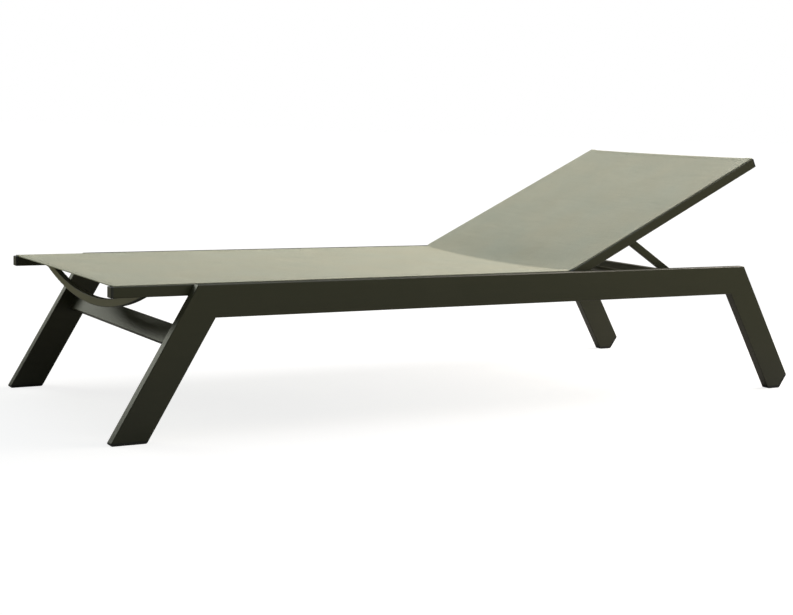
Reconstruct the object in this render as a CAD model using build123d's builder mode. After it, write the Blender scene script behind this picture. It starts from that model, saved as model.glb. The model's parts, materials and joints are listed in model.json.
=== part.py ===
from build123d import *
import math
import os

# Sun lounger of flat aluminium tube with a taut mesh sling and a propped backrest.
# X runs from the foot end to the head end, Y across and Z up. The origin is on the ground,
# in the middle of the whole length and width. "left" is the lying person's left, on -Y.

os.makedirs("parts", exist_ok=True)

# Whole object, millimetres
overall_length = 2000
overall_width = 790
bed_height = 348

# Side frames: beam and legs of one flat tube, mitred together
side_depth = 75
side_width = 25
side_wall = 2
side_corner = 2
leg_splay = 30.4  # degrees from upright
heel_cut_height = 36.5
heel_cut_length = 47

# Foot glides
glide_thickness = 7
glide_tip_round = 4
glide_back_round = 9
glide_heel_round = 8
glide_plug_depth = 18
plug_clearance = 0.2

# Rails that hold the sling
rail_size = 25
rail_wall = 1.5
rail_corner = 2
rail_reach = 193.5  # from the beam's front corner to the foot end of the rail, cap included
groove_radius = 3.3
groove_slot = 3
groove_inset = 4.9  # groove centre from the rail's outer face and from its top
groove_lip = 1.2
end_cap_thickness = 6
end_cap_round = 1.8
rear_cap_thickness = 3
cap_plug_length = 16
cap_plug_height = 10

# Sling
sling_thickness = 1.2
keder_radius = 2.4
keder_pocket_radius = 3.1
sling_foot_margin = 6
sling_top_margin = 2
seat_sling_end = 10  # before the hinge axis
back_sling_start = 4  # along the backrest from the hinge axis

# Backrest
hinge_from_beam_rear = 564  # from the hinge axis to the beam's rear corner
rest_angle = 26  # degrees, the photographed position
back_length = 678  # from the hinge axis to the top end of the rail, cap included
back_side_gap = 5  # between a beam and a backrest rail
knuckle_reach = 14
knuckle_plug_length = 30
pivot_radius = 5
pivot_head_radius = 9
pivot_head_height = 4
head_round_share = 0.3  # of a bolt head's height
socket_share = 0.45  # of a bolt head's radius and height
pivot_clearance = 0.05
pivot_washer_radius = 10
pivot_nut_size = 16  # across flats
pivot_nut_height = 8

# Bows: bent rectangular tubes between two rails
bow_height = 20
bow_depth = 15
bow_wall = 1.5
bow_corner = 2
bow_sag = 59
bow_end_drop = 3.3  # of its axis below the rails' axis, at the rails
front_bow_from_corner = 112  # its front face, ahead of the beam's front corner
middle_bow_from_corner = 430
hinge_bow_before_hinge = 70
back_lower_bow_at = 90
back_top_bow_from_top = 78

# Cross bars: flat tube between the side frames
bar_depth = 50
bar_thickness = 25
bar_wall = 2
bar_corner = 2
front_bar_inset = 34.5  # from the legs' front face to the bar's
front_bar_top_drop = 99  # from the bed's height to the bar's top front edge
rear_bar_height = 40  # it stands upright
rear_bar_drop = 32.8  # of its top below the bed's height
rear_bar_from_corner = 53  # from its rear edge to the beam's rear corner

# Rest pads on the rear cross bar
pad_length = 20
pad_round = 4
pad_gap = 0.3

# Prop of the backrest
strut_pivot_at = 217  # along the rail from the hinge axis
strut_pivot_drop = 3  # below the rail's axis
strut_length = 229
strut_width = 20
strut_thickness = 10
strut_edge_round = 1.5
strut_washer = 2
strut_washer_radius = 9
strut_pin_radius = 4
strut_pin_head_radius = 7.5
strut_pin_head_height = 3.5
rivet_nut_radius = 6
rivet_nut_length = 10
prop_bar_radius = 7
prop_bar_wall = 2
prop_bar_drop = 29.3  # of its axis below the rails' axis, in the photographed position
prop_cap_thickness = 2.5
prop_cap_plug_length = 10
prop_end_gap = 3.5  # between the bar's cap and the beam

# Racks on the beams' inner faces
rack_thickness = 10
rack_height = 20
rack_tip_gap = 0.5
notch_depth = 5
notch_clearance = 0.3
notch_angles = (13, 26, 38, 50, 60)  # degrees of the backrest
rack_end_margin = 15
rack_corner = 3
rack_screw_radius = 2.5
rack_screw_head_radius = 4.5
rack_screw_head_height = 2.5
rack_screw_inset = 14
rack_screw_grip = 8
rack_screw_count = 3

# Rail bolts
bolt_radius = 3
bolt_head_radius = 5.5
bolt_head_height = 3
bolt_drop = 4.5  # below the rail's axis
bolt_end_margin = 30
bolt_count = 4
bolt_nut_radius = 4.5
bolt_nut_length = 10
bolt_hole_clearance = 0.3

# Small clearance between pieces that sit in each other's holes
seat_clearance = 0.05

# Every cut runs past its piece by this much
overrun = 5

# Places worked out from the sizes above
splay = math.radians(leg_splay)
rest = math.radians(rest_angle)
heel_run = (bed_height - heel_cut_height) * math.tan(splay)
beam_front = -overall_length / 2 + bed_height * math.tan(splay)
beam_rear = overall_length / 2 - heel_run
heel_toe_x = beam_rear + bed_height * math.tan(splay) - heel_cut_length
beam_bottom = bed_height - side_depth
side_middle = overall_width / 2 - side_width / 2
side_inner = overall_width / 2 - side_width
mitre_angle = (math.pi / 2 + splay) / 2

rail_top = bed_height - sling_thickness
rail_axis = rail_top - rail_size / 2
rail_under = rail_top - rail_size
seat_rail_outer = side_inner
seat_rail_inner = seat_rail_outer - rail_size
back_rail_outer = side_inner - back_side_gap
back_rail_inner = back_rail_outer - rail_size
hinge_x = beam_rear - hinge_from_beam_rear
seat_front = beam_front - rail_reach
seat_rear = hinge_x - knuckle_reach
rear_bar_x = beam_rear - rear_bar_from_corner - bar_thickness / 2
rear_bar_top = bed_height - rear_bar_drop
prop_bar_height = rail_axis - prop_bar_drop

hinge_axis = Axis((hinge_x, 0, rail_axis), (0, -1, 0))
sides = (("left", -1), ("right", 1))


def raised(part):
    """Turn a backrest piece from the flat position to the photographed one."""
    return part.rotate(hinge_axis, rest_angle)


def back_point(along, up, angle=rest):
    """X and Z of a point of the backrest, given along its rail and above the rail's axis."""
    x = hinge_x + along * math.cos(angle) - up * math.sin(angle)
    z = rail_axis + along * math.sin(angle) + up * math.cos(angle)
    return x, z


def prop_bar_x(angle):
    """X of the prop's bar when the backrest stands at an angle and the bar is in the rack."""
    pivot_x, pivot_z = back_point(strut_pivot_at, -strut_pivot_drop, angle)
    lean = math.asin((pivot_z - prop_bar_height) / strut_length)
    return pivot_x + strut_length * math.cos(lean)


def save(part, name):
    part.label = name
    export_step(part, f"parts/{name}.step")


# Side frames
def mitre_plane(corner_x, outward):
    """The saw cut between beam and leg, facing the leg; outward is -1 at the foot end."""
    normal = (outward * math.sin(mitre_angle), 0, -math.cos(mitre_angle))
    return Plane(origin=(corner_x, 0, bed_height), x_dir=(0, 1, 0), z_dir=normal)


def heel_plane(inset):
    """The sloping cut of a rear foot, moved into the foot by the inset."""
    run = overall_length / 2 - heel_toe_x
    length = math.hypot(run, heel_cut_height)
    out_x = heel_cut_height / length
    out_z = -run / length
    start = (heel_toe_x - inset * out_x, 0, -inset * out_z)
    return Plane(origin=start, x_dir=(0, 1, 0), z_dir=(out_x, 0, out_z))


def flat_tube(middle, reach, cuts):
    """Hollow side tube about a plane through its section, kept behind every cut."""
    with BuildPart() as tube:
        with BuildSketch(middle):
            RectangleRounded(side_width, side_depth, side_corner)
            Rectangle(side_width - 2 * side_wall, side_depth - 2 * side_wall, mode=Mode.SUBTRACT)
        extrude(amount=reach, both=True)
        for cut in cuts:
            split(bisect_by=cut, keep=Keep.BOTTOM)
    return tube.part


def leg_middle(outward, y, height):
    """Plane square to a leg at a height, with its origin on the leg's axis."""
    out = (bed_height - height) * math.tan(splay) - side_depth / 2 / math.cos(splay)
    corner = beam_front if outward < 0 else beam_rear
    direction = (outward * math.sin(splay), 0, -math.cos(splay))
    return Plane(origin=(corner + outward * out, y, height), x_dir=(0, 1, 0), z_dir=direction)


def leg(outward, y, cuts):
    corner = beam_front if outward < 0 else beam_rear
    mitre = mitre_plane(corner, outward)
    facing_beam = Plane(origin=mitre.origin, x_dir=mitre.x_dir, z_dir=-mitre.z_dir)
    return flat_tube(leg_middle(outward, y, beam_bottom / 2), bed_height, [facing_beam, *cuts])


def ground_plane(height):
    return Plane(origin=(0, 0, height), x_dir=(1, 0, 0), z_dir=(0, 0, -1))


def rail_bolt_places():
    first = beam_front + bolt_end_margin
    last = seat_rear - bolt_end_margin
    step = (last - first) / (bolt_count - 1)
    return [(first + step * index, rail_axis - bolt_drop) for index in range(bolt_count)]


def rack_span():
    start = prop_bar_x(math.radians(notch_angles[-1])) - rack_end_margin
    end = prop_bar_x(0) + prop_bar_radius
    return start, end


def rack_screw_places():
    start, end = rack_span()
    step = (end - start - 2 * rack_screw_inset) / (rack_screw_count - 1)
    height = rack_top() - notch_depth - (rack_height - notch_depth) / 2
    return [(start + rack_screw_inset + step * index, height) for index in range(rack_screw_count)]


def rack_top():
    return prop_bar_height - prop_bar_radius - rack_tip_gap


def side_plane(y):
    """Plane of a side frame, seen from -Y: sketch x is X and sketch y is Z."""
    return Plane(origin=(0, y, 0), x_dir=(1, 0, 0), z_dir=(0, -1, 0))


def side_beam(side):
    middle = Plane(origin=((beam_front + beam_rear) / 2, side * side_middle, bed_height - side_depth / 2),
                   x_dir=(0, 1, 0), z_dir=(1, 0, 0))
    cuts = [mitre_plane(beam_front, -1), mitre_plane(beam_rear, 1)]
    tube = flat_tube(middle, beam_rear - beam_front, cuts)
    with BuildPart() as beam:
        add(tube)
        with BuildSketch(side_plane(side * side_inner)):
            with Locations((hinge_x, rail_axis)):
                Circle(pivot_radius + pivot_clearance)
            with Locations(*rail_bolt_places()):
                Circle(bolt_nut_radius)
            with Locations(*rack_screw_places()):
                Circle(rack_screw_radius + seat_clearance)
        extrude(amount=side_wall + overrun, both=True, mode=Mode.SUBTRACT)
    return beam.part


def leg_point(outward, inset, height):
    """X and Z on a leg's band, set in from its outer edge, at a height."""
    out = (bed_height - height) * math.tan(splay) - inset / math.cos(splay)
    corner = beam_front if outward < 0 else beam_rear
    return corner + outward * out, height


def heel_at_height(inset, height):
    """X and Z on the heel cut, moved into the foot by the inset, at a height."""
    slope = (overall_length / 2 - heel_toe_x) / heel_cut_height
    shift = inset * math.hypot(1, slope)
    return heel_toe_x + height * slope - shift, height


def heel_at_edge(inset, edge_inset):
    """X and Z where the heel cut, moved in, meets the leg's outer edge, moved in."""
    slope = (overall_length / 2 - heel_toe_x) / heel_cut_height
    start_x = heel_at_height(inset, 0)[0]
    edge_x = leg_point(1, edge_inset, 0)[0]
    height = (edge_x - start_x) / (slope + math.tan(splay))
    return start_x + height * slope, height


def leg_form(outward, y):
    """The leg's outer form as a long solid bar, for trimming what follows its outline."""
    with BuildPart() as form:
        with BuildSketch(leg_middle(outward, y, 0)):
            RectangleRounded(side_width, side_depth, side_corner)
        extrude(amount=bed_height, both=True)
    return form.part


def glide(outward, y, base_points, rounds, plug_points):
    """Foot cap: a base with rounded ends, as wide as the tube, and a plug inside the tube."""
    form = leg_form(outward, y)
    with BuildPart() as cap:
        with BuildSketch(side_plane(y)) as outline:
            Polygon(*base_points, align=None)
            for point, radius in rounds:
                fillet(outline.vertices().sort_by_distance((*point, 0))[0], radius)
        extrude(amount=side_width / 2, both=True)
        add(form, mode=Mode.INTERSECT)
        with BuildSketch(side_plane(y)):
            Polygon(*plug_points, align=None)
        extrude(amount=side_width / 2 - side_wall - plug_clearance, both=True)
    return cap.part


def front_glide(side):
    top = glide_thickness
    tip = leg_point(-1, 0, 0)
    back = leg_point(-1, side_depth, 0)
    base = [tip, back, leg_point(-1, side_depth, top), leg_point(-1, 0, top)]
    wall = side_wall + plug_clearance
    plug_top = top + glide_plug_depth
    plug = [leg_point(-1, wall, top), leg_point(-1, side_depth - wall, top),
            leg_point(-1, side_depth - wall, plug_top), leg_point(-1, wall, plug_top)]
    rounds = [(tip, glide_tip_round), (back, glide_back_round)]
    return glide(-1, side * side_middle, base, rounds, plug)


def rear_glide(side):
    top = glide_thickness
    front = leg_point(1, side_depth, 0)
    toe = heel_at_height(0, 0)
    heel = heel_at_edge(0, 0)
    base = [front, toe, heel, heel_at_edge(glide_thickness, 0),
            heel_at_height(glide_thickness, top), leg_point(1, side_depth, top)]
    wall = side_wall + plug_clearance
    plug_top = heel_cut_height + glide_plug_depth
    plug = [leg_point(1, side_depth - wall, top), heel_at_height(glide_thickness, top),
            heel_at_edge(glide_thickness, wall), leg_point(1, wall, plug_top),
            leg_point(1, side_depth - wall, plug_top)]
    rounds = [(front, glide_tip_round), (toe, glide_heel_round), (heel, glide_heel_round)]
    return glide(1, side * side_middle, base, rounds, plug)


# Rails, their end caps and the knuckles
def across_plane(x, y, z):
    """Plane square to X: sketch x is Y and sketch y is Z."""
    return Plane(origin=(x, y, z), x_dir=(0, 1, 0), z_dir=(1, 0, 0))


def rail(side, outer, x_from, x_to, holes, hole_radius, hole_reach):
    """Square tube with a round keder groove under its top outer corner, and a row of holes
    from its inner face; outer is the distance of its outer face from the middle."""
    y = side * (outer - rail_size / 2)
    groove_from_middle = rail_size / 2 - groove_inset
    block_out = rail_wall / 2
    block_in = groove_inset + groove_radius + groove_lip
    block_middle = rail_size / 2 - (block_out + block_in) / 2
    with BuildPart() as tube:
        with BuildSketch(across_plane(x_from, y, rail_axis)):
            RectangleRounded(rail_size, rail_size, rail_corner)
            Rectangle(rail_size - 2 * rail_wall, rail_size - 2 * rail_wall, mode=Mode.SUBTRACT)
            with Locations((side * block_middle, block_middle)):
                Rectangle(block_in - block_out, block_in - block_out)
            with Locations((side * groove_from_middle, groove_from_middle)):
                Circle(groove_radius, mode=Mode.SUBTRACT)
                Rectangle(groove_slot, rail_size, align=(Align.CENTER, Align.MIN), mode=Mode.SUBTRACT)
        extrude(amount=x_to - x_from)
        with BuildSketch(side_plane(side * (outer - rail_size))):
            with Locations(*holes):
                Circle(hole_radius)
        extrude(amount=hole_reach, both=True, mode=Mode.SUBTRACT)
    return tube.part


def end_cap(side, outer, face_x, inward, thickness):
    """Rail end cap: a rounded plate outside the tube and a plug below the groove."""
    y = side * (outer - rail_size / 2)
    inside = rail_size - 2 * rail_wall - 2 * plug_clearance
    with BuildPart() as cap:
        with BuildSketch(across_plane(face_x, y, rail_axis)):
            RectangleRounded(rail_size, rail_size, rail_corner)
        extrude(amount=inward * thickness)
        face = cap.faces().sort_by(Axis.X)[0 if inward > 0 else -1]
        fillet(face.edges(), end_cap_round)
        with BuildSketch(across_plane(face_x + inward * thickness, y, rail_axis)):
            with Locations((0, -inside / 2)):
                Rectangle(inside, cap_plug_height, align=(Align.CENTER, Align.MIN))
        extrude(amount=inward * cap_plug_length)
    return cap.part


def knuckle(side):
    """Hinge end of a backrest rail, round about the pivot, with its plug in the tube."""
    y = side * (back_rail_outer - rail_size / 2)
    inside = rail_size - 2 * rail_wall - 2 * plug_clearance
    with BuildPart() as bar:
        with BuildSketch(across_plane(hinge_x - rail_size, y, rail_axis)):
            RectangleRounded(rail_size, rail_size, rail_corner)
        extrude(amount=rail_size + knuckle_reach)
    with BuildPart() as nose:
        with BuildSketch(side_plane(y)):
            with Locations((hinge_x, rail_axis)):
                Circle(rail_size / 2)
                Rectangle(knuckle_reach, rail_size, align=(Align.MIN, Align.CENTER))
        extrude(amount=rail_size / 2, both=True)
        add(bar.part, mode=Mode.INTERSECT)
        with BuildSketch(across_plane(hinge_x + knuckle_reach, y, rail_axis)):
            with Locations((0, -inside / 2)):
                Rectangle(inside, cap_plug_height, align=(Align.CENTER, Align.MIN))
        extrude(amount=knuckle_plug_length)
        with BuildSketch(side_plane(y)):
            with Locations((hinge_x, rail_axis)):
                Circle(pivot_radius + pivot_clearance)
        extrude(amount=rail_size, both=True, mode=Mode.SUBTRACT)
    return nose.part


# Bows and cross bars
def bow(x, half_span):
    """Rectangular tube bent along an arc that hangs between two rails, ends cut upright."""
    radius = (half_span ** 2 + bow_sag ** 2) / (2 * bow_sag)
    lowest = rail_axis - bow_end_drop - bow_sag
    turn = math.degrees(math.asin(half_span / radius)) + overrun
    section = Plane(origin=(x + bow_depth / 2, 0, lowest), x_dir=(1, 0, 0), z_dir=(0, 1, 0))
    with BuildPart() as tube:
        with BuildSketch(section):
            RectangleRounded(bow_depth, bow_height, bow_corner)
            Rectangle(bow_depth - 2 * bow_wall, bow_height - 2 * bow_wall, mode=Mode.SUBTRACT)
        revolve(axis=Axis((x, 0, lowest + radius), (1, 0, 0)), revolution_arc=turn)
        split(bisect_by=Plane(origin=(0, half_span, 0), x_dir=(1, 0, 0), z_dir=(0, 1, 0)),
              keep=Keep.BOTTOM)
        mirror(about=Plane.XZ)
    return tube.part


def cross_bar(middle, depth):
    """Flat tube from one side frame to the other, about a plane through its middle."""
    with BuildPart() as bar:
        with BuildSketch(middle):
            RectangleRounded(depth, bar_thickness, bar_corner)
            Rectangle(depth - 2 * bar_wall, bar_thickness - 2 * bar_wall, mode=Mode.SUBTRACT)
        extrude(amount=side_inner, both=True)
    return bar.part


def front_cross_bar():
    edge_x, edge_z = leg_point(-1, front_bar_inset, bed_height - front_bar_top_drop)
    down_x, down_z = -math.sin(splay), -math.cos(splay)
    back_x, back_z = math.cos(splay), -math.sin(splay)
    x = edge_x + down_x * bar_depth / 2 + back_x * bar_thickness / 2
    z = edge_z + down_z * bar_depth / 2 + back_z * bar_thickness / 2
    return cross_bar(Plane(origin=(x, 0, z), x_dir=(down_x, 0, down_z), z_dir=(0, 1, 0)), bar_depth)


def rear_cross_bar():
    z = rear_bar_top - rear_bar_height / 2
    return cross_bar(Plane(origin=(rear_bar_x, 0, z), x_dir=(0, 0, 1), z_dir=(0, 1, 0)), rear_bar_height)


def rest_pad(side):
    """Buffer on the rear cross bar, just under the flat backrest's rail."""
    place = (rear_bar_x, side * (back_rail_outer - rail_size / 2))
    with BuildPart() as pad:
        with BuildSketch(Plane.XY.offset(rear_bar_top)):
            with Locations(place):
                RectangleRounded(pad_length, rail_size, pad_round)
        extrude(amount=rail_under - pad_gap - rear_bar_top)
    return pad.part


# Sling: a flat sheet with a pocket down into each rail's groove, and the rods in the pockets
def sling(outer, sheet_from, sheet_to, pocket_from, pocket_to):
    edge = outer - groove_inset
    groove_z = rail_top - groove_inset
    with BuildPart() as cloth:
        with BuildSketch(across_plane(sheet_from, 0, rail_top)):
            Rectangle(2 * edge + sling_thickness, sling_thickness, align=(Align.CENTER, Align.MIN))
        extrude(amount=sheet_to - sheet_from)
        with BuildSketch(across_plane(pocket_from, 0, groove_z)):
            with Locations((-edge, 0), (edge, 0)):
                Circle(keder_pocket_radius)
                Rectangle(sling_thickness, groove_inset, align=(Align.CENTER, Align.MIN))
                Circle(keder_radius + seat_clearance, mode=Mode.SUBTRACT)
        extrude(amount=pocket_to - pocket_from)
    return cloth.part


def keder_rods(outer, x_from, x_to):
    edge = outer - groove_inset
    with BuildPart() as rods:
        with BuildSketch(across_plane(x_from, 0, rail_top - groove_inset)):
            with Locations((-edge, 0), (edge, 0)):
                Circle(keder_radius)
        extrude(amount=x_to - x_from)
    return rods.part


# Round pieces across the lounger; y_from and y_to are distances from its middle
def ring(x, z, outer, inner, y_from, y_to, side):
    with BuildPart() as band:
        with BuildSketch(Plane(origin=(x, side * y_from, z), x_dir=(1, 0, 0), z_dir=(0, side, 0))):
            Circle(outer)
            Circle(inner, mode=Mode.SUBTRACT)
        extrude(amount=y_to - y_from)
    return band.part


def bolt(x, z, radius, head_radius, head_height, y_head, y_end, side):
    """Bolt along Y: a low round head with a hexagon socket inside y_head, and a plain shank."""
    seat = Plane(origin=(x, side * y_head, z), x_dir=(1, 0, 0), z_dir=(0, side, 0))
    with BuildPart() as screw:
        with BuildSketch(seat):
            Circle(head_radius)
        extrude(amount=-head_height)
        rim = screw.edges().filter_by(GeomType.CIRCLE).sort_by(Axis.Y)[0 if side > 0 else -1]
        fillet(rim, head_height * head_round_share)
        with BuildSketch(seat.offset(-head_height)):
            RegularPolygon(head_radius * socket_share, 6)
        extrude(amount=head_height * socket_share, mode=Mode.SUBTRACT)
        with BuildSketch(seat):
            Circle(radius)
        extrude(amount=y_end - y_head)
    return screw.part


def pivot_nut(side):
    start = side_inner + side_wall
    with BuildPart() as nut:
        with BuildSketch(Plane(origin=(hinge_x, side * start, rail_axis), x_dir=(1, 0, 0),
                               z_dir=(0, side, 0))):
            RegularPolygon(pivot_nut_size / 2, 6, major_radius=False)
            Circle(pivot_radius + seat_clearance, mode=Mode.SUBTRACT)
        extrude(amount=pivot_nut_height)
    return nut.part


# Prop: two struts and a bar, and the racks it stands in
def strut(side):
    """Flat bar with round ends, from its pivot on the backrest rail down to the prop's bar."""
    pivot_x, pivot_z = back_point(strut_pivot_at, -strut_pivot_drop)
    lean = prop_lean()
    y = side * (back_rail_inner - strut_washer - strut_thickness / 2)
    along = Plane(origin=(pivot_x, y, pivot_z), x_dir=(math.cos(lean), 0, -math.sin(lean)),
                  z_dir=(0, -1, 0))
    with BuildPart() as bar:
        with BuildSketch(along):
            with Locations((strut_length / 2, 0)):
                SlotCenterToCenter(strut_length, strut_width)
            Circle(strut_pin_radius + pivot_clearance, mode=Mode.SUBTRACT)
            with Locations((strut_length, 0)):
                Circle(prop_bar_radius + seat_clearance, mode=Mode.SUBTRACT)
        extrude(amount=strut_thickness / 2, both=True)
        rims = bar.edges().filter_by(GeomType.LINE).filter_by(Axis.Y, reverse=True)
        fillet(rims, strut_edge_round)
    return bar.part


def prop_lean():
    """The struts' angle below level in the photographed position."""
    pivot_z = back_point(strut_pivot_at, -strut_pivot_drop)[1]
    return math.asin((pivot_z - prop_bar_height) / strut_length)


def prop_bar():
    reach = side_inner - prop_end_gap - prop_cap_thickness
    with BuildPart() as bar:
        with BuildSketch(Plane(origin=(prop_bar_x(rest), 0, prop_bar_height), x_dir=(1, 0, 0),
                               z_dir=(0, 1, 0))):
            Circle(prop_bar_radius)
            Circle(prop_bar_radius - prop_bar_wall, mode=Mode.SUBTRACT)
        extrude(amount=reach, both=True)
    return bar.part


def prop_bar_cap(side):
    """Plastic button in an end of the prop's bar."""
    start = side_inner - prop_end_gap - prop_cap_thickness
    outward = Plane(origin=(prop_bar_x(rest), side * start, prop_bar_height), x_dir=(1, 0, 0),
                    z_dir=(0, side, 0))
    with BuildPart() as cap:
        with BuildSketch(outward):
            Circle(prop_bar_radius)
        extrude(amount=prop_cap_thickness)
        rim = cap.edges().filter_by(GeomType.CIRCLE).sort_by(Axis.Y)[-1 if side > 0 else 0]
        fillet(rim, prop_cap_thickness / 2)
        with BuildSketch(outward):
            Circle(prop_bar_radius - prop_bar_wall - plug_clearance)
        extrude(amount=-prop_cap_plug_length)
    return cap.part


def rack(side):
    """Plastic rack on a beam, with a round-bottomed notch for each backrest position."""
    start, end = rack_span()
    notch_radius = prop_bar_radius + notch_clearance
    notches = [(prop_bar_x(math.radians(angle)), rack_top() - notch_depth + notch_radius)
               for angle in notch_angles]
    with BuildPart() as plate:
        with BuildSketch(side_plane(side * (side_inner - rack_thickness / 2))) as outline:
            with Locations((start, rack_top())):
                Rectangle(end - start, rack_height, align=(Align.MIN, Align.MAX))
            fillet(outline.vertices(), rack_corner)
            with Locations(*notches):
                Circle(notch_radius, mode=Mode.SUBTRACT)
            with Locations(*rack_screw_places()):
                Circle(rack_screw_radius + bolt_hole_clearance, mode=Mode.SUBTRACT)
        extrude(amount=rack_thickness / 2, both=True)
    return plate.part


def group(parts):
    """Several loose solids as one node."""
    with BuildPart() as together:
        add(parts)
    return together.part


def on_both_sides(make):
    return group([make(side) for name, side in sides])


# Side frames and the cross bars between them
for name, side in sides:
    save(side_beam(side), f"side_beam_{name}")
    save(leg(-1, side * side_middle, [ground_plane(glide_thickness)]), f"front_leg_{name}")
    rear_cuts = [ground_plane(glide_thickness), heel_plane(glide_thickness)]
    save(leg(1, side * side_middle, rear_cuts), f"rear_leg_{name}")
    save(front_glide(side), f"front_glide_{name}")
    save(rear_glide(side), f"rear_glide_{name}")
    save(rest_pad(side), f"rest_pad_{name}")
save(front_cross_bar(), "front_cross_bar")
save(rear_cross_bar(), "rear_cross_bar")

# Seat: rails, bows, bolts and sling
tube_front = seat_front + end_cap_thickness
tube_rear = seat_rear - rear_cap_thickness
for name, side in sides:
    seat_tube = rail(side, seat_rail_outer, tube_front, tube_rear, rail_bolt_places(),
                     bolt_radius + bolt_hole_clearance, rail_size + overrun)
    save(seat_tube, f"seat_rail_{name}")
    save(end_cap(side, seat_rail_outer, seat_front, 1, end_cap_thickness), f"seat_rail_foot_cap_{name}")
    save(end_cap(side, seat_rail_outer, seat_rear, -1, rear_cap_thickness), f"seat_rail_rear_cap_{name}")
save(bow(beam_front - front_bow_from_corner, seat_rail_inner), "front_bow")
save(bow(beam_front + middle_bow_from_corner, seat_rail_inner), "middle_bow")
save(bow(hinge_x - hinge_bow_before_hinge, seat_rail_inner), "hinge_bow")
bolt_end = side_inner + bolt_nut_length
bolts = [bolt(x, z, bolt_radius, bolt_head_radius, bolt_head_height, seat_rail_inner, bolt_end, side)
         for x, z in rail_bolt_places() for name, side in sides]
save(group(bolts), "rail_bolts")
rail_nut = bolt_nut_radius - seat_clearance
nuts = [ring(x, z, rail_nut, bolt_radius + seat_clearance, side_inner, bolt_end, side)
        for x, z in rail_bolt_places() for name, side in sides]
save(group(nuts), "rail_rivet_nuts")
seat_sheet_front = seat_front + sling_foot_margin
save(sling(seat_rail_outer, seat_sheet_front, hinge_x - seat_sling_end, seat_sheet_front, tube_rear),
     "seat_sling")
save(keder_rods(seat_rail_outer, seat_sheet_front, tube_rear), "seat_keder_rods")

# Backrest: built lying flat, then raised about its hinge
back_tube_start = hinge_x + knuckle_reach
back_tube_end = hinge_x + back_length - end_cap_thickness
strut_pin_place = (hinge_x + strut_pivot_at, rail_axis - strut_pivot_drop)
for name, side in sides:
    back_tube = rail(side, back_rail_outer, back_tube_start, back_tube_end, [strut_pin_place],
                     rivet_nut_radius, rail_wall + overrun)
    save(raised(back_tube), f"back_rail_{name}")
    top_cap = end_cap(side, back_rail_outer, hinge_x + back_length, -1, end_cap_thickness)
    save(raised(top_cap), f"back_rail_top_cap_{name}")
    save(raised(knuckle(side)), f"hinge_knuckle_{name}")
save(raised(bow(hinge_x + back_lower_bow_at, back_rail_inner)), "back_lower_bow")
save(raised(bow(hinge_x + back_length - back_top_bow_from_top, back_rail_inner)), "back_top_bow")
back_sheet_end = hinge_x + back_length - sling_top_margin
save(raised(sling(back_rail_outer, hinge_x + back_sling_start, back_sheet_end, back_tube_start,
                  back_tube_end)), "back_sling")
save(raised(keder_rods(back_rail_outer, back_tube_start, back_tube_end)), "back_keder_rods")

# Hinge pivots
pivot_end = side_inner + side_wall + pivot_nut_height
save(on_both_sides(lambda side: bolt(hinge_x, rail_axis, pivot_radius, pivot_head_radius,
                                     pivot_head_height, back_rail_inner, pivot_end, side)), "pivot_bolts")
save(on_both_sides(lambda side: ring(hinge_x, rail_axis, pivot_washer_radius,
                                     pivot_radius + seat_clearance, back_rail_outer, side_inner,
                                     side)), "pivot_washers")
save(on_both_sides(pivot_nut), "pivot_nuts")

# Prop and racks
pin_x, pin_z = back_point(strut_pivot_at, -strut_pivot_drop)
strut_outer = back_rail_inner - strut_washer
for name, side in sides:
    save(strut(side), f"prop_strut_{name}")
    save(prop_bar_cap(side), f"prop_bar_cap_{name}")
    save(rack(side), f"rack_{name}")
save(prop_bar(), "prop_bar")
save(on_both_sides(lambda side: bolt(pin_x, pin_z, strut_pin_radius, strut_pin_head_radius,
                                     strut_pin_head_height, strut_outer - strut_thickness,
                                     back_rail_inner + rivet_nut_length, side)), "prop_pivot_bolts")
save(on_both_sides(lambda side: ring(pin_x, pin_z, strut_washer_radius,
                                     strut_pin_radius + seat_clearance, strut_outer,
                                     back_rail_inner, side)), "prop_washers")
save(on_both_sides(lambda side: ring(pin_x, pin_z, rivet_nut_radius - seat_clearance,
                                     strut_pin_radius + seat_clearance, back_rail_inner,
                                     back_rail_inner + rivet_nut_length, side)), "prop_rivet_nuts")
rack_inner = side_inner - rack_thickness
screw_end = side_inner + rack_screw_grip
screws = [bolt(x, z, rack_screw_radius, rack_screw_head_radius, rack_screw_head_height, rack_inner,
               screw_end, side)
          for x, z in rack_screw_places() for name, side in sides]
save(group(screws), "rack_screws")
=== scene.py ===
import bpy
import json
import math
import numpy as np
from mathutils import Matrix, Vector


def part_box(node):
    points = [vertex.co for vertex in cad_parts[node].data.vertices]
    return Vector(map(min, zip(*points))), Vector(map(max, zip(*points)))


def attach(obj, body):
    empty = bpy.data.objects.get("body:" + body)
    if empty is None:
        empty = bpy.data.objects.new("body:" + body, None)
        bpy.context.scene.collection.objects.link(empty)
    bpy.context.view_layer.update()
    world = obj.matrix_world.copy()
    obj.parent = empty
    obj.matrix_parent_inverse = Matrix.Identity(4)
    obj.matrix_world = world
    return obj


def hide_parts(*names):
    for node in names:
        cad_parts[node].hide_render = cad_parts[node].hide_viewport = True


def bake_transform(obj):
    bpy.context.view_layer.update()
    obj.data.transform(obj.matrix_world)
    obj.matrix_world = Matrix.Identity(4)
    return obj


# Looks of a sun lounger, in metres: X runs from the foot end to the head end, Z points up.

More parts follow.
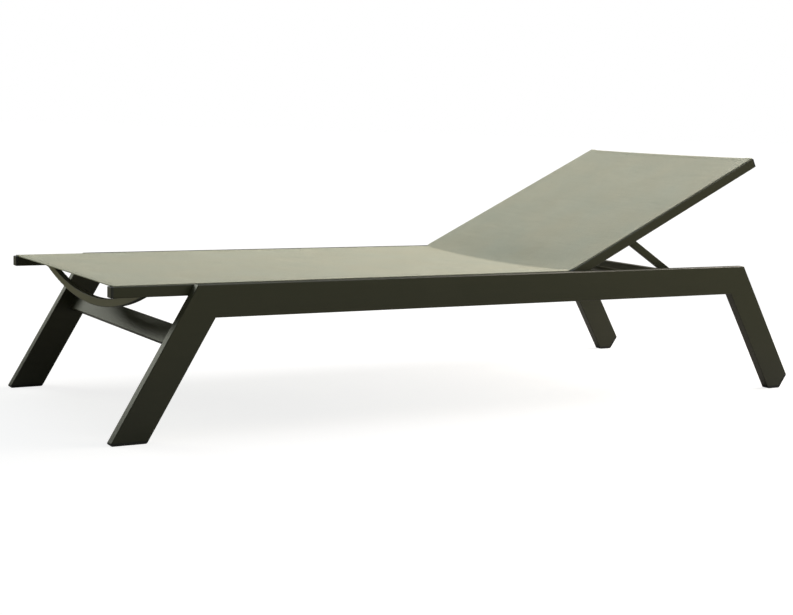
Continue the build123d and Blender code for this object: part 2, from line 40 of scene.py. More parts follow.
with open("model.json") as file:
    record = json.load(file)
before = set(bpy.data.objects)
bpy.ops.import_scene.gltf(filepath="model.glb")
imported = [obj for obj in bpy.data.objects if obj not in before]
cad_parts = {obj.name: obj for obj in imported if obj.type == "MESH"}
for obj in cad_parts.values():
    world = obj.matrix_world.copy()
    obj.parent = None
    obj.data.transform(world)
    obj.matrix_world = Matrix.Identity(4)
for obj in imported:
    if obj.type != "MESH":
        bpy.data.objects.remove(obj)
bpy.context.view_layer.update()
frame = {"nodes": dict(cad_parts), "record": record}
millimetre = 0.001
sides = (("left", -1), ("right", 1))


# Places and sizes of the solids
joints = frame["record"]["behaviour"]["joints"]
hinge = Vector(next(joint for joint in joints if joint["name"] == "backrest_hinge")["pos_m"])
seat_low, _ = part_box("seat_sling")
rest_angle = math.radians(26)
leg_splay = math.radians(30.4)
rail_half = 12.5 * millimetre
sling_thickness = 1.2 * millimetre
seat_groove_y = 365.1 * millimetre
back_groove_y = 360.1 * millimetre
groove_drop = 4.9 * millimetre
back_length = 676 * millimetre
seat_rail_end = hinge.x - 17 * millimetre
back_rail_start = 14 * millimetre
back_rail_end = 672 * millimetre
side_inner = 370 * millimetre
seat_rail_inner = 345 * millimetre
back_rail_inner = 340 * millimetre
bow_end_height = 331 * millimetre
back_bows = (("back_lower_bow", 97.5 * millimetre), ("back_top_bow", 607.5 * millimetre))
front_bar_half = (25 * millimetre, 12.5 * millimetre)
rear_bar_half = (12.5 * millimetre, 20 * millimetre)
bow_half = (7.5 * millimetre, 10.6 * millimetre)

# Sizes of the cloth
yarn_pitch = 1.25 * millimetre
crease_radius = 10 * millimetre
hem_width = 18 * millimetre
strip_width = 27 * millimetre
stitch_rows = np.array([11, 15]) * millimetre
pocket_radius = 2.78 * millimetre
pocket_neck = 1.15 * pocket_radius
pocket_half_thickness = 0.3 * millimetre
pocket_start = 78  # degrees, where the cloth's loop round the keder rod begins
pocket_turn = 336  # degrees of that loop

# Lengths along the cloth
sling_rise = rail_half + sling_thickness / 2
corner_shift = sling_rise * math.tan(rest_angle / 2)
crease_tangent = crease_radius * math.tan(rest_angle / 2)
level_length = hinge.x - corner_shift - crease_tangent - seat_low.x
arc_length = crease_radius * rest_angle
crease_at = level_length + arc_length / 2
sling_length = level_length + arc_length + back_length - (corner_shift + crease_tangent)


# Shader helpers
mix_amount, mix_first, mix_second, mix_colour = 0, 6, 7, 2  # colour sockets of a Mix node


class Value:
    """A socket that is used like a number: each operator adds one Math node."""

    def __init__(self, finish, socket):
        self.finish = finish
        self.socket = socket

    def _math(self, operation, *values, clamp=False):
        node = self.finish.node("ShaderNodeMath", {"operation": operation, "use_clamp": clamp},
                                dict(enumerate(values)))
        return Value(self.finish, node.outputs[0])

    def __add__(self, other):
        return self._math("ADD", self, other)

    def __sub__(self, other):
        return self._math("SUBTRACT", self, other)

    def __rsub__(self, other):
        return self._math("SUBTRACT", other, self)

    def __mul__(self, other):
        return self._math("MULTIPLY", self, other)

    def __truediv__(self, other):
        return self._math("DIVIDE", self, other)

    def __pow__(self, other):
        return self._math("POWER", self, other)

    def __gt__(self, other):
        return self._math("GREATER_THAN", self, other)

    def sine(self):
        return self._math("SINE", self)

    def size(self):
        return self._math("ABSOLUTE", self)

    def floor(self):
        return self._math("FLOOR", self)

    def part(self):
        return self._math("FRACT", self)

    def larger(self, other):
        return self._math("MAXIMUM", self, other)

    def clear(self):
        return self._math("ADD", self, 0.0, clamp=True)


class Finish:
    """A node material with one Principled shader, filled in by the functions below."""

    def __init__(self, name, roughness, metallic=0.0, specular=0.5):
        self.material = bpy.data.materials.new(name)
        self.material.use_nodes = True
        self.tree = self.material.node_tree
        self.shader = next(n for n in self.tree.nodes if n.type == "BSDF_PRINCIPLED")
        self.shader.inputs["Roughness"].default_value = roughness
        self.shader.inputs["Metallic"].default_value = metallic
        self.shader.inputs["Specular IOR Level"].default_value = specular
        self.place = self.node("ShaderNodeTexCoord").outputs["Object"]

    def feed(self, entry, value):
        """Links a socket to a node's input, or gives the input a plain value."""
        if isinstance(value, Value):
            value = value.socket
        if isinstance(value, bpy.types.NodeSocket):
            self.tree.links.new(value, entry)
        else:
            entry.default_value = value

    def node(self, kind, settings=None, sockets=None):
        made = self.tree.nodes.new(kind)
        for key, value in (settings or {}).items():
            setattr(made, key, value)
        for key, value in (sockets or {}).items():
            self.feed(made.inputs[key], value)
        return made

    def noise(self, scale, detail=2.0, place=None, stretch=None, roughness=0.5):
        """Noise from 0 to 1; scale is features per metre, stretch squeezes it along an axis."""
        vector = self.place if place is None else place
        if stretch is not None:
            vector = self.node("ShaderNodeMapping", {}, {"Vector": vector, "Scale": stretch}).outputs[0]
        made = self.node("ShaderNodeTexNoise", {}, {"Vector": vector, "Scale": scale,
                                                    "Detail": detail, "Roughness": roughness})
        return Value(self, made.outputs["Fac"])

    def axes(self, place=None):
        made = self.node("ShaderNodeSeparateXYZ", {}, {0: self.place if place is None else place})
        return [Value(self, made.outputs[i]) for i in range(3)]

    def blend(self, amount, first, second):
        """Colour between two colours or sockets."""
        made = self.node("ShaderNodeMix", {"data_type": "RGBA"}, {mix_amount: amount})
        for index, tone in ((mix_first, first), (mix_second, second)):
            self.feed(made.inputs[index], (*tone, 1.0) if isinstance(tone, tuple) else tone)
        return made.outputs[mix_colour]

    def colour(self, socket):
        self.tree.links.new(socket, self.shader.inputs["Base Color"])

    def roughness(self, value):
        self.tree.links.new(value.socket, self.shader.inputs["Roughness"])

    def relief(self, height, depth, strength=1.0):
        """Bump from a height of 0 to 1 that stands for a depth in metres."""
        made = self.node("ShaderNodeBump", {}, {"Height": height, "Distance": depth,
                                                "Strength": strength})
        self.tree.links.new(made.outputs[0], self.shader.inputs["Normal"])


def powder_coat(name, dark, light, roughness, specular):
    """Fine-grained polyester powder coat: orange-peel grain and slow changes of tone."""
    finish = Finish(name, roughness, specular=specular)
    grain = finish.noise(1500, 2.0)
    peel = finish.noise(320, 1.0)
    drift = finish.noise(7, 3.0)
    streak = finish.noise(1.0, 2.0, stretch=(9.0, 60.0, 160.0))
    tone = (drift * 0.6 + streak * 0.25 + grain * 0.25 - 0.05).clear()
    finish.colour(finish.blend(tone, dark, light))
    finish.roughness(grain * 0.10 + drift * 0.08 + (roughness - 0.09))
    finish.relief(grain * 0.6 + peel * 0.4, 0.00004, 0.4)
    return finish.material


def moulded_plastic(name, dark, light, roughness):
    """Spark-textured moulded plastic."""
    finish = Finish(name, roughness, specular=0.4)
    grain = finish.noise(2200, 1.0)
    drift = finish.noise(25, 2.0)
    finish.colour(finish.blend(drift, dark, light))
    finish.roughness(grain * 0.16 + (roughness - 0.08))
    finish.relief(grain, 0.00005, 0.5)
    return finish.material


def rubber(name, dark, light):
    """Matt rubber with a coarse grain."""
    finish = Finish(name, 0.8, specular=0.25)
    grain = finish.noise(900, 3.0)
    finish.colour(finish.blend(grain, dark, light))
    finish.roughness(grain * 0.2 + 0.7)
    finish.relief(grain, 0.00008, 0.6)
    return finish.material


def zinc_steel(name):
    """Zinc-plated steel of the bolts and washers, with fine turning marks."""
    finish = Finish(name, 0.35, metallic=1.0)
    marks = finish.noise(900, 2.0, stretch=(1.0, 0.12, 1.0))
    cloud = finish.noise(160, 3.0)
    finish.colour(finish.blend(cloud, (0.40, 0.40, 0.39), (0.58, 0.58, 0.57)))
    finish.roughness(marks * 0.18 + 0.26)
    finish.relief(marks, 0.00003, 0.4)
    return finish.material


def braided_cord(name):
    """Braid of the keder rods: slanting strands with a speckle of fibres."""
    finish = Finish(name, 0.75, specular=0.3)
    x, _, z = finish.axes()
    twist = (x * 2600.0 + z * 1400.0).sine() * 0.5 + 0.5
    speckle = finish.noise(1200, 2.0)
    tone = (twist * 0.6 + speckle * 0.4).clear()
    finish.colour(finish.blend(tone, (0.16, 0.16, 0.14), (0.34, 0.34, 0.30)))
    finish.roughness(speckle * 0.15 + 0.68)
    finish.relief(twist, 0.0002, 0.7)
    return finish.material


def mesh_weave(name, warp_light, warp_dark, weft_light, weft_dark, pitch):
    """Plain weave of coated yarns: round yarns over and under each other at one pitch, with painted
    shade in the open corners, a different tone in each yarn and slow streaks along the yarns."""
    finish = Finish(name, 0.62, specular=0.35)
    cloth = finish.node("ShaderNodeUVMap", {"uv_map": "cloth"}).outputs["UV"]
    u, v, _ = finish.axes(cloth)
    across = u / pitch
    along = v / pitch
    warp_round = (across * math.pi).sine().size()
    weft_round = (along * math.pi).sine().size()
    over = ((across.floor() + along.floor()) * 0.5).part() * 2.0
    warp_height = warp_round ** 0.5 * (over * 0.55 + 0.45)
    weft_height = weft_round ** 0.5 * ((1.0 - over) * 0.55 + 0.45)
    height = warp_height.larger(weft_height)
    per_yarn = 1.0 / pitch * 0.9
    warp_tone = finish.noise(1.0, 1.0, cloth, (per_yarn, 9.0, 1.0), 0.7)
    weft_tone = finish.noise(1.0, 1.0, cloth, (9.0, per_yarn, 1.0), 0.7)
    streak = finish.noise(1.0, 3.0, cloth, (6.0, 130.0, 1.0), 0.6)
    cloud = finish.noise(9.0, 3.0, cloth)
    warp = finish.blend((warp_tone * 0.7 + cloud * 0.7 - 0.20).clear(), warp_dark, warp_light)
    weft = finish.blend((weft_tone * 0.5 + streak * 1.1 - 0.30).clear(), weft_dark, weft_light)
    top_is_warp = warp_height > weft_height
    drift = ((finish.noise(6.0, 4.0, cloth) - 0.5) * 3.0 + 0.5).clear()
    tint = finish.blend(drift, (1.022, 1.0, 0.978), (0.978, 1.0, 1.015))
    top_yarn = finish.blend(top_is_warp, weft, warp)
    yarns = finish.node("ShaderNodeMix", {"data_type": "RGBA", "blend_type": "MULTIPLY"},
                        {mix_amount: 1.0, mix_first: top_yarn, mix_second: tint})
    # Painted shade: darker where the yarns dip low, darkest in the open corners between them.
    shade = ((height - 0.25) * 2.2).clear()
    painted_gap_shade = tuple(c * 0.35 for c in weft_dark)
    finish.colour(finish.blend(shade, painted_gap_shade, yarns.outputs[mix_colour]))
    finish.roughness(1.0 - height * 0.35)
    finish.relief(height, 0.00035, 0.6)
    return finish.material


def thread(name, dark, light):
    """Sewing thread with fine fibres."""
    finish = Finish(name, 0.55, specular=0.4)
    fibre = finish.noise(3500, 2.0)
    finish.colour(finish.blend(fibre, dark, light))
    finish.roughness(fibre * 0.2 + 0.45)
    finish.relief(fibre, 0.00005, 0.5)
    return finish.material


# Materials
coat = powder_coat("olive_powder_coat", (0.026, 0.030, 0.017), (0.051, 0.051, 0.029), 0.38, 0.5)
cap_plastic = moulded_plastic("end_cap_plastic", (0.024, 0.026, 0.027), (0.036, 0.038, 0.039), 0.5)
glide_plastic = moulded_plastic("glide_plastic", (0.018, 0.019, 0.018), (0.034, 0.035, 0.033), 0.6)
rack_plastic = moulded_plastic("rack_plastic", (0.014, 0.014, 0.014), (0.024, 0.024, 0.023), 0.45)
pad_rubber = rubber("pad_rubber", (0.010, 0.010, 0.010), (0.022, 0.022, 0.021))
zinc = zinc_steel("zinc_plated_steel")
keder = braided_cord("keder_cord")
weave = mesh_weave("sling_weave", (0.58, 0.59, 0.46), (0.37, 0.38, 0.29), (0.52, 0.53, 0.42),
                   (0.33, 0.34, 0.265), yarn_pitch)
sewing = thread("hem_thread", (0.38, 0.39, 0.31), (0.52, 0.53, 0.43))

by_slot = {"frame_coat": coat, "cap_plastic": cap_plastic, "glide_plastic": glide_plastic,
           "pad_rubber": pad_rubber, "hardware": zinc, "keder_cord": keder, "sling_mesh": weave}
by_node = {"rack_left": rack_plastic, "rack_right": rack_plastic}
for part in frame["record"]["subparts"]:
    node = frame["nodes"][part["node"]]
    node.data.materials.clear()
    node.data.materials.append(by_node.get(part["node"], by_slot[part["material_slot"]]))


# Mesh helpers
def new_piece(name, points, faces, material, cloth=None):
    """Smooth mesh from a point array and a list of faces; cloth gives each point's place on
    the flat cloth, in metres, as its UV."""
    mesh = bpy.data.meshes.new(name)
    mesh.from_pydata(points.reshape(-1, 3).tolist(), [], faces)
    if cloth is not None:
        layer = mesh.uv_layers.new(name="cloth")
        corner = np.empty(len(mesh.loops), np.int32)
        mesh.loops.foreach_get("vertex_index", corner)
        flat = cloth.astype(np.float32).reshape(-1, 2)
        layer.data.foreach_set("uv", flat[corner].ravel())
    mesh.shade_smooth()
    mesh.materials.append(material)
    mesh.update()
    mesh.validate()
    made = bpy.data.objects.new(name, mesh)
    bpy.context.scene.collection.objects.link(made)
    return made


def grid_faces(rows, columns):
    """Quads of a grid of rows by columns whose last column is joined to the first."""
    r = np.arange(rows - 1)[:, None]
    c = np.arange(columns)[None, :]
    n = (c + 1) % columns
    return np.stack([r * columns + c, r * columns + n, (r + 1) * columns + n,
                     (r + 1) * columns + c], -1).reshape(-1, 4)


def outward(piece):
    """Turns a closed mesh the right way out, by the sign of its volume."""
    mesh = piece.data
    mesh.calc_loop_triangles()
    corners = np.empty(len(mesh.loop_triangles) * 3, np.int32)
    mesh.loop_triangles.foreach_get("vertices", corners)
    place = np.empty(len(mesh.vertices) * 3)
    mesh.vertices.foreach_get("co", place)
    a, b, c = np.moveaxis(place.reshape(-1, 3)[corners.reshape(-1, 3)], 1, 0)
    if np.einsum("ij,ij->i", a, np.cross(b, c)).sum() < 0:
        mesh.flip_normals()
    return piece


# The sling
def sling_path(s):
    """Middle line of the cloth at rest, by its length s from the foot edge: level over the
    seat, a short arc of crease_radius at the hinge, then straight up the backrest at the rest
    angle. Returns x, z and the slope."""
    slope = np.clip((s - level_length) / crease_radius, 0, rest_angle)
    past = np.maximum(s - level_length - arc_length, 0)
    x = (seat_low.x + np.minimum(s, level_length) + crease_radius * np.sin(slope)
         + past * math.cos(rest_angle))
    z = (hinge.z + sling_rise + crease_radius * (1 - np.cos(slope))
         + past * math.sin(rest_angle))
    return x, z, slope


def sling_edge(s):
    """Half width of the cloth: the seat rails' groove line, then the backrest rails' narrower
    one, joined by a smooth step over the gap between the rails, where nothing holds the edge
    and the pull draws it in a little."""
    step_before, step_length = 15 * millimetre, 28 * millimetre
    drawn_in, spread = 6 * millimetre, 9 * millimetre
    t = np.clip((s - crease_at + step_before) / step_length, 0, 1)
    step = t * t * (3 - 2 * t)
    free = drawn_in * np.exp(-((s - crease_at) / spread) ** 2)
    return seat_groove_y + (back_groove_y - seat_groove_y) * step + sling_thickness / 2 - free


def sling_dip(s, y):
    """How far the cloth hangs below the rails' level: a parabola between the rails' inner
    edges, deeper at the crease and shallower at the two hems."""
    over_rail = 22 * millimetre
    end_reach, end_share = 0.12, 0.3
    dip, crease_dip, crease_reach = 2.0 * millimetre, 7.5 * millimetre, 0.075
    inner = sling_edge(s) - over_rail
    bulge = np.clip(1 - (y / inner) ** 2, 0, 1)
    ends = np.clip(np.minimum(s, sling_length - s) / end_reach, 0, 1)
    painted_gap_shade = (dip * (end_share + (1 - end_share) * ends)
            + crease_dip * np.exp(-((s - crease_at) / crease_reach) ** 2))
    return bulge * painted_gap_shade


def sling_pull(s, y):
    """How far the cloth's ends are drawn in between the rails: a parabola at each hem that
    dies out over its reach."""
    foot_pull, top_pull, reach = 5 * millimetre, 3 * millimetre, 0.16
    bulge = np.clip(1 - (y / seat_groove_y) ** 2, 0, 1)
    foot = foot_pull * np.clip(1 - s / reach, 0, 1) ** 2
    top = top_pull * np.clip(1 - (sling_length - s) / reach, 0, 1) ** 2
    return bulge * (foot - top)


def wrap_rim(piece, count, tips):
    """Carries the weave round the cloth's rim: on the rim's faces, and only there, a corner on
    the underside is moved on by one yarn pitch, and one on a tip column by half of it."""
    mesh = piece.data
    layer = mesh.uv_layers["cloth"]
    vertex = np.empty(len(mesh.loops), np.int32)
    mesh.loops.foreach_get("vertex_index", vertex)
    start = np.empty(len(mesh.polygons), np.int32)
    mesh.polygons.foreach_get("loop_start", start)
    sizes = np.diff(np.append(start, len(vertex)))
    row, column = vertex // count, vertex % count
    tip = np.isin(column, tips)
    under = (column > tips[0]) & (column < tips[1])
    level = np.repeat(np.minimum.reduceat(row, start) == np.maximum.reduceat(row, start), sizes)
    at_side = np.repeat(np.logical_or.reduceat(tip, start), sizes) & ~level
    on = yarn_pitch * np.where(tip, 0.5, np.where(under, 1.0, 0.0))
    uv = np.empty(len(vertex) * 2, np.float32)
    layer.data.foreach_get("uv", uv)
    uv = uv.reshape(-1, 2)
    uv[:, 0] += np.where(at_side, np.sign(uv[:, 0]) * on, 0)
    uv[:, 1] += np.where(level, np.where(row == 0, -on, on), 0)
    layer.data.foreach_set("uv", uv.ravel())


def cloth_rows():
    """Lengths of the grid's rows: close together at the two hems and round the crease."""
    past_hem = hem_width * 1.2
    near_crease = 0.05
    return np.unique(np.round(np.concatenate([
        np.linspace(0, past_hem, 9),
        np.linspace(past_hem, crease_at - near_crease, 70),
        np.linspace(crease_at - near_crease, crease_at + near_crease, 61),
        np.linspace(crease_at + near_crease, sling_length - past_hem, 40),
        np.linspace(sling_length - past_hem, sling_length, 9)]), 6))


def make_sling():
    """One sheet over seat and backrest, on a grid of length by a closed cross-section. The
    middle sags by a parabola, a little more at the crease, and both ends are drawn in by one.
    The hems are thicker over hem_width, towards the underside, and so is a side strip of
    strip_width over each rail, towards the top. Returns the sheet and its flat area."""
    half = 40
    ramp = 1.5 * millimetre
    strip_ramp, edge_share = 3 * millimetre, 0.35
    hem_fold, hem_side_gap, hem_side_ramp = 0.9 * millimetre, 24 * millimetre, 4 * millimetre
    almost_edge = 0.9999
    rows = cloth_rows()
    q_top = np.linspace(-math.pi / 2, math.pi / 2, 2 * half + 1)
    q_top = np.sin(q_top * 0.6 + 0.4 * math.pi / 2 * np.sin(q_top))
    q = np.concatenate([q_top, [1.0], q_top[::-1], [-1.0]])
    side = np.concatenate([np.ones(2 * half + 1), [0.0], -np.ones(2 * half + 1), [0.0]])
    s, q = np.meshgrid(rows, q, indexing="ij")
    side = np.broadcast_to(side, s.shape)
    edge = sling_edge(s)
    y = q * (edge - sling_thickness / 2 * np.abs(side) * (np.abs(q) > almost_edge))
    strip = sling_thickness * np.clip((np.abs(y) - edge + strip_width) / strip_ramp, 0, 1)
    strip = strip * (edge_share + (1 - edge_share) * np.clip((edge - np.abs(y)) / ramp, 0, 1))
    x, z, slope = sling_path(s + sling_pull(s, y))
    to_end = np.minimum(s, sling_length - s)
    hem = hem_fold * np.clip((hem_width - to_end) / ramp, 0, 1)
    hem = hem * np.clip((edge - hem_side_gap - np.abs(y)) / hem_side_ramp, 0, 1)
    offset = np.where(side > 0, sling_thickness / 2 + strip,
                      np.where(side < 0, -sling_thickness / 2 - hem, strip / 2))
    rise = offset - sling_dip(s, y)
    points = np.stack([x - rise * np.sin(slope), y, z + rise * np.cos(slope)], -1)
    cloth = np.stack([y, s], -1)
    count = points.shape[1]
    tips = (2 * half + 1, count - 1)
    faces = grid_faces(len(rows), count)[:, ::-1].tolist()
    top = np.arange(2 * half + 1)
    under = 4 * half + 2 - top
    for row, turn in ((0, 1), (len(rows) - 1, -1)):
        quads = np.stack([top[:-1], top[1:], under[1:], under[:-1]], -1) + row * count
        corners = np.array([[top[-1], tips[0], under[-1]], [under[0], tips[1], top[0]]]) + row * count
        faces += quads[:, ::turn].tolist() + corners[:, ::turn].tolist()
    made = new_piece("sling", points, faces, weave, cloth)
    wrap_rim(made, count, tips)
    return made, float(np.trapz(2 * sling_edge(rows), rows))


def ribbon(name, line, start, end, turn):
    """A strip of cloth with a curved cross-section carried straight along a rail: the
    section's centre line in Y and Z, thickened to both sides, from start to end along X,
    then turned about the hinge."""
    tangent = np.gradient(line, axis=0)
    tangent /= np.linalg.norm(tangent, axis=1, keepdims=True)
    normal = np.stack([-tangent[:, 1], tangent[:, 0]], -1) * pocket_half_thickness
    outline = np.concatenate([line + normal, (line - normal)[::-1]])
    after = np.roll(outline, -1, 0)
    if np.sum(outline[:, 0] * after[:, 1] - outline[:, 1] * after[:, 0]) < 0:
        outline = outline[::-1]
    count = len(outline)
    stations = np.linspace(start, end, 24)
    x, k = np.meshgrid(stations, np.arange(count), indexing="ij")
    points = np.stack([x, outline[k, 0], outline[k, 1]], -1)
    around = np.cumsum(np.linalg.norm(outline - np.roll(outline, 1, 0), axis=1))
    cloth = np.stack([around[k], x], -1)
    faces = grid_faces(len(stations), count).tolist()
    i = np.arange(count // 2 - 1)
    cap = np.stack([i, i + 1, count - 2 - i, count - 1 - i], -1)
    faces += cap[:, ::-1].tolist() + (cap + (len(stations) - 1) * count).tolist()
    if turn:
        dx, dz = points[..., 0] - hinge.x, points[..., 2] - hinge.z
        points = np.stack([hinge.x + dx * math.cos(turn) - dz * math.sin(turn), points[..., 1],
                           hinge.z + dx * math.sin(turn) + dz * math.cos(turn)], -1)
    return new_piece(name, points, faces, weave, cloth)


def pocket(name, side, groove_y, start, end, turn):
    """Side pocket of the cloth: down through the rail's slot and once round the keder rod."""
    top = hinge.z + rail_half
    centre = top - groove_drop
    down = np.stack([np.zeros(6), np.linspace(top, centre + pocket_neck, 6)], -1)
    angle = np.linspace(math.radians(pocket_start), math.radians(pocket_start - pocket_turn), 40)
    loop = np.stack([np.cos(angle) * pocket_radius, centre + np.sin(angle) * pocket_radius], -1)
    line = np.concatenate([down, loop])
    line[:, 0] = side * (groove_y + line[:, 0])
    return ribbon(name, line, start, end, turn)


def stitches(name, rows, edge, body):
    """Rows of sewing stitches across the cloth, each at its own length along it: a stitch is a
    short thread that rises out of the cloth and dips back, an ellipsoid of few faces."""
    pitch, length, radius = 4.2 * millimetre, 3.0 * millimetre, 0.33 * millimetre
    side_gap = 14 * millimetre
    lift = radius * 0.25
    polar = np.linspace(0, math.pi, 6)[1:-1, None]
    turn = np.linspace(0, 2 * math.pi, 6, endpoint=False)[None, :]
    ball = np.stack([np.cos(polar) + 0 * turn, np.sin(polar) * np.cos(turn),
                     np.sin(polar) * np.sin(turn)], -1)
    ball = np.concatenate([ball.reshape(-1, 3), [[1, 0, 0], [-1, 0, 0]]])
    ring, last = turn.size, (polar.size - 1) * turn.size
    k = np.arange(ring)
    n = (k + 1) % ring
    first_tip, last_tip = np.full(ring, len(ball) - 2), np.full(ring, len(ball) - 1)
    quads = grid_faces(polar.size, ring)
    corners = np.concatenate([np.stack([first_tip, n, k], -1),
                              np.stack([last_tip, last + k, last + n], -1)])
    y = np.arange(-edge + side_gap, edge - side_gap, pitch)
    y, s = [a.ravel() for a in np.meshgrid(y, rows)]
    x, z, slope = sling_path(s + sling_pull(s, y))
    rise = sling_thickness / 2 - sling_dip(s, y) + lift
    along = np.stack([np.cos(slope), 0 * slope, np.sin(slope)], -1)
    off = np.stack([-np.sin(slope), 0 * slope, np.cos(slope)], -1)
    centre = np.stack([x, y, z], -1) + rise[:, None] * off
    across = np.array([0.0, 1.0, 0.0])
    shape = (ball[None, :, 0:1] * across * (length / 2)
             + ball[None, :, 1:2] * along[:, None, :] * radius
             + ball[None, :, 2:3] * off[:, None, :] * radius)
    points = (centre[:, None, :] + shape).reshape(-1, 3)
    starts = np.arange(0, len(points), len(ball))[:, None, None]
    faces = (quads + starts).reshape(-1, 4).tolist() + (corners + starts).reshape(-1, 3).tolist()
    made = outward(new_piece(name, points, faces, sewing))
    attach(made, body)
    return made


sling, sling_area = make_sling()
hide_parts("seat_sling", "back_sling")
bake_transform(sling)

pockets = []
for name, side in sides:
    seat_pocket = pocket(f"seat_pocket_{name}", side, seat_groove_y, seat_low.x, seat_rail_end, 0.0)
    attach(seat_pocket, "frame")
    back_pocket = pocket(f"back_pocket_{name}", side, back_groove_y, hinge.x + back_rail_start,
                         hinge.x + back_rail_end, rest_angle)
    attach(back_pocket, "backrest")
    pockets += [seat_pocket, back_pocket]
foot_stitches = stitches("foot_hem_stitches", stitch_rows, seat_groove_y, "frame")
top_stitches = stitches("top_hem_stitches", sling_length - stitch_rows, back_groove_y, "backrest")


# Weld beads
def weld_bead(name, centre, along, upward, half, side, turn):
    """Fillet weld round the end of a rectangular tube: a bead whose section is a circle, carried
    round a rounded rectangle, its radius waving with the welder's steps."""
    corner = 2.2 * millimetre
    radius = 1.5 * millimetre
    sunk = 0.25 * radius
    wave_height, wave_length = 0.14, 2.6 * millimetre
    count = 104
    corners = []
    for start, cx, cz in ((0, 1, 1), (90, -1, 1), (180, -1, -1), (270, 1, -1)):
        angle = np.radians(np.linspace(start, start + 90, 7))
        corners.append(np.stack([cx * (half[0] - corner) + corner * np.cos(angle),
                                 cz * (half[1] - corner) + corner * np.sin(angle)], -1))
    rough = np.concatenate(corners + [corners[0][:1]])
    length = np.append(0, np.cumsum(np.linalg.norm(np.diff(rough, axis=0), axis=1)))
    at = np.linspace(0, length[-1], count, endpoint=False)
    path = np.stack([np.interp(at, length, rough[:, 0]), np.interp(at, length, rough[:, 1])], -1)
    tangent = np.roll(path, -1, 0) - np.roll(path, 1, 0)
    tangent /= np.linalg.norm(tangent, axis=1, keepdims=True)
    out = np.stack([tangent[:, 1], -tangent[:, 0]], -1)
    bead = radius * (1 + wave_height * np.abs(np.sin(at / wave_length * math.pi)))[:, None]
    angle = np.linspace(0, 2 * math.pi, 9, endpoint=False)[None, :]
    flat = path[:, None, :] + out[:, None, :] * (bead * np.cos(angle))[:, :, None]
    depth = -side * (bead * np.sin(angle) - sunk)
    points = (np.array(centre) + flat[..., 0:1] * np.array(along) + flat[..., 1:2] * np.array(upward)
              + depth[..., None] * np.array([0.0, 1.0, 0.0]))
    rows, columns = points.shape[:2]
    faces = grid_faces(rows + 1, columns) % (rows * columns)
    made = new_piece(name, points, faces.tolist(), coat)
    if turn:
        made.data.transform(Matrix.Translation(hinge) @ Matrix.Rotation(-turn, 4, "Y")
                            @ Matrix.Translation(-hinge))
    return outward(made)


def weld_both_ends(node, x, z, along, upward, half, reach, body, turn=0.0):
    """A bead at each end of a cross piece, at its reach from the middle."""
    for name, side in sides:
        bead = weld_bead(f"weld_{node}_{name}", (x, side * reach, z), along, upward, half, side, turn)
        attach(bead, body)


def middle_of(node):
    low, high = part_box(node)
    return (low + high) / 2


def weld_all():
    """Beads at both ends of each cross bar and bow."""
    level, upright = (1, 0, 0), (0, 0, 1)
    down_leg = (-math.sin(leg_splay), 0, -math.cos(leg_splay))
    off_leg = (math.cos(leg_splay), 0, -math.sin(leg_splay))
    bar = middle_of("front_cross_bar")
    weld_both_ends("front_bar", bar.x, bar.z, down_leg, off_leg, front_bar_half, side_inner, "frame")
    bar = middle_of("rear_cross_bar")
    weld_both_ends("rear_bar", bar.x, bar.z, level, upright, rear_bar_half, side_inner, "frame")
    for node in ("front_bow", "middle_bow", "hinge_bow"):
        weld_both_ends(node, middle_of(node).x, bow_end_height, level, upright, bow_half,
                       seat_rail_inner, "frame")
    for node, past_hinge in back_bows:
        weld_both_ends(node, hinge.x + past_hinge, bow_end_height, level, upright, bow_half,
                       back_rail_inner, "backrest", rest_angle)


weld_all()


# Floor, light and camera
def studio_floor():
    """Pale seamless floor, a wide level disc just under the feet, that fades to white away from
    the object, as a paper sweep does. The camera sees it brighter than it lights the object, and past
    fade_from it glows warm yellow for all other rays, a painted glow that lights the object like a
    lamp."""
    radius, below, count = 60, 0.0004, 96
    fade_from, fade_over = 1.4, 1.2
    seen_near, seen_more, unseen_far = 0.80, 0.25, 0.52
    angle = np.linspace(0, 2 * math.pi, count, endpoint=False)
    rim = np.stack([np.cos(angle) * radius, np.sin(angle) * radius, np.full(count, -below)], -1)
    mesh = bpy.data.meshes.new("studio_floor")
    mesh.from_pydata(rim.tolist(), [], [list(range(count))])
    made = bpy.data.objects.new("studio_floor", mesh)
    bpy.context.scene.collection.objects.link(made)
    paper = Finish("studio_paper", 0.9, specular=0.0)
    away = paper.node("ShaderNodeVectorMath", {"operation": "LENGTH"}, {0: paper.place})
    fade = ((Value(paper, away.outputs["Value"]) - fade_from) / fade_over).clear()
    paper.colour(paper.blend(fade, (0.30, 0.30, 0.30), (0.0, 0.0, 0.0)))
    seen = Value(paper, paper.node("ShaderNodeLightPath").outputs["Is Camera Ray"])
    # Painted glow: away from the object the floor glows warm yellow for every ray but the camera's.
    glow = paper.blend(seen, (1.0, 0.955, 0.57), (1.0, 1.0, 1.0))
    paper.feed(paper.shader.inputs["Emission Color"], glow)
    lift = seen * (fade * seen_more + seen_near) + (1.0 - seen) * fade * unseen_far
    paper.feed(paper.shader.inputs["Emission Strength"], lift)
    mesh.materials.append(paper.material)


def soft_box(name, place, towards, size, power, tint):
    """Rectangular area light that points at a place."""
    data = bpy.data.lights.new(name, "AREA")
    data.shape = "RECTANGLE"
    data.size, data.size_y = size
    data.energy = power
    data.color = tint
    made = bpy.data.objects.new(name, data)
    bpy.context.scene.collection.objects.link(made)
    made.location = place
    made.rotation_euler = (Vector(towards) - Vector(place)).to_track_quat("-Z", "Y").to_euler()


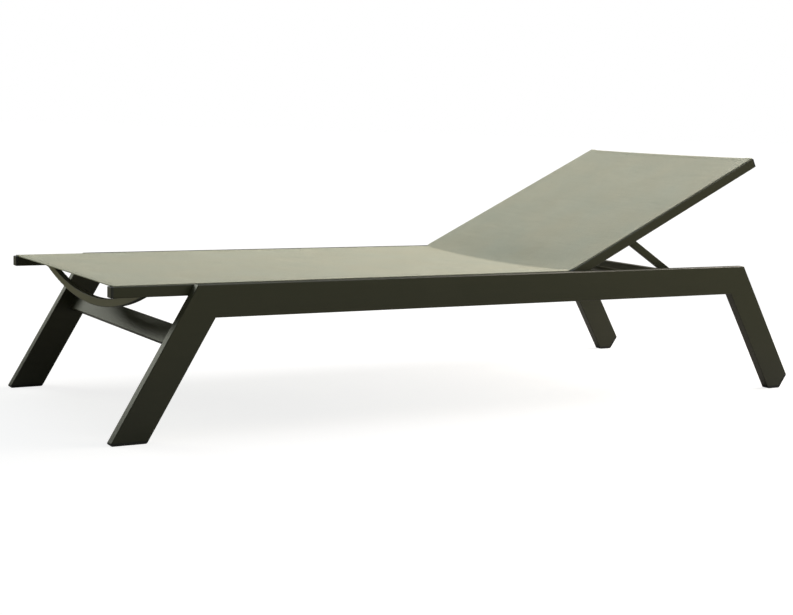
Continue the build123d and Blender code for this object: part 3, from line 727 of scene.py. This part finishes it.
def studio_light():
    """White air behind the object and four soft boxes: a strong one past the head end, one
    overhead, one on the far side of the foot end and a weak one on the camera's side."""
    lighting_air, seen_air = 0.08, 1.0
    bpy.context.scene.view_settings.view_transform = "Standard"
    world = bpy.data.worlds.new("studio_air")
    bpy.context.scene.world = world
    world.use_nodes = True
    tree = world.node_tree
    back = next(n for n in tree.nodes if n.type == "BACKGROUND")
    seen = tree.nodes.new("ShaderNodeLightPath")
    mix = tree.nodes.new("ShaderNodeMix")
    mix.inputs[2].default_value = lighting_air
    mix.inputs[3].default_value = seen_air
    tree.links.new(seen.outputs["Is Camera Ray"], mix.inputs[0])
    tree.links.new(mix.outputs[0], back.inputs["Strength"])
    back.inputs["Color"].default_value = (1.0, 1.0, 1.0, 1.0)
    soft_box("head_box", place=(3.6, 0, 2.8), towards=(0.1, 0, 0.3), size=(4.2, 3.0),
             power=312, tint=(1.0, 0.905, 0.815))
    soft_box("overhead_box", place=(-0.2, 0.4, 3.0), towards=(-0.1, 0, 0.3), size=(3.2, 2.6),
             power=34, tint=(0.786, 0.853, 1.0))
    soft_box("far_foot_box", place=(-2.6, 2.9, 1.85), towards=(-0.86, 0.1, 0.25), size=(2.4, 1.8),
             power=44, tint=(0.97, 1.0, 0.86))
    soft_box("near_box", place=(0.4, -3.8, 2.6), towards=(0, 0, 0.3), size=(4.0, 2.0),
             power=26, tint=(0.88, 1.0, 0.84))


def photo_camera():
    """Camera solved from the photograph's corner points: place, yaw, pitch and roll in radians
    and the focal length in pixels of the photograph."""
    place = (-2.0986, -3.48512, 0.73075)
    yaw, pitch, roll, focal = -0.53033, -0.12574, 0.02803, 1512.1
    photo_width, sensor_width = 793, 36
    forward = Vector((-math.sin(yaw) * math.cos(pitch), math.cos(yaw) * math.cos(pitch),
                      math.sin(pitch)))
    right = Vector((math.cos(yaw), math.sin(yaw), 0))
    up = right.cross(forward)
    turned_right = right * math.cos(roll) + up * math.sin(roll)
    turned_up = up * math.cos(roll) - right * math.sin(roll)
    data = bpy.data.cameras.new("photo_camera")
    data.sensor_width = sensor_width
    data.lens = focal * sensor_width / photo_width
    made = bpy.data.objects.new("photo_camera", data)
    bpy.context.scene.collection.objects.link(made)
    turn = Matrix((turned_right, turned_up, -forward)).transposed().to_4x4()
    made.matrix_world = Matrix.Translation(place) @ turn
    bpy.context.scene.camera = made


studio_floor()
studio_light()
photo_camera()
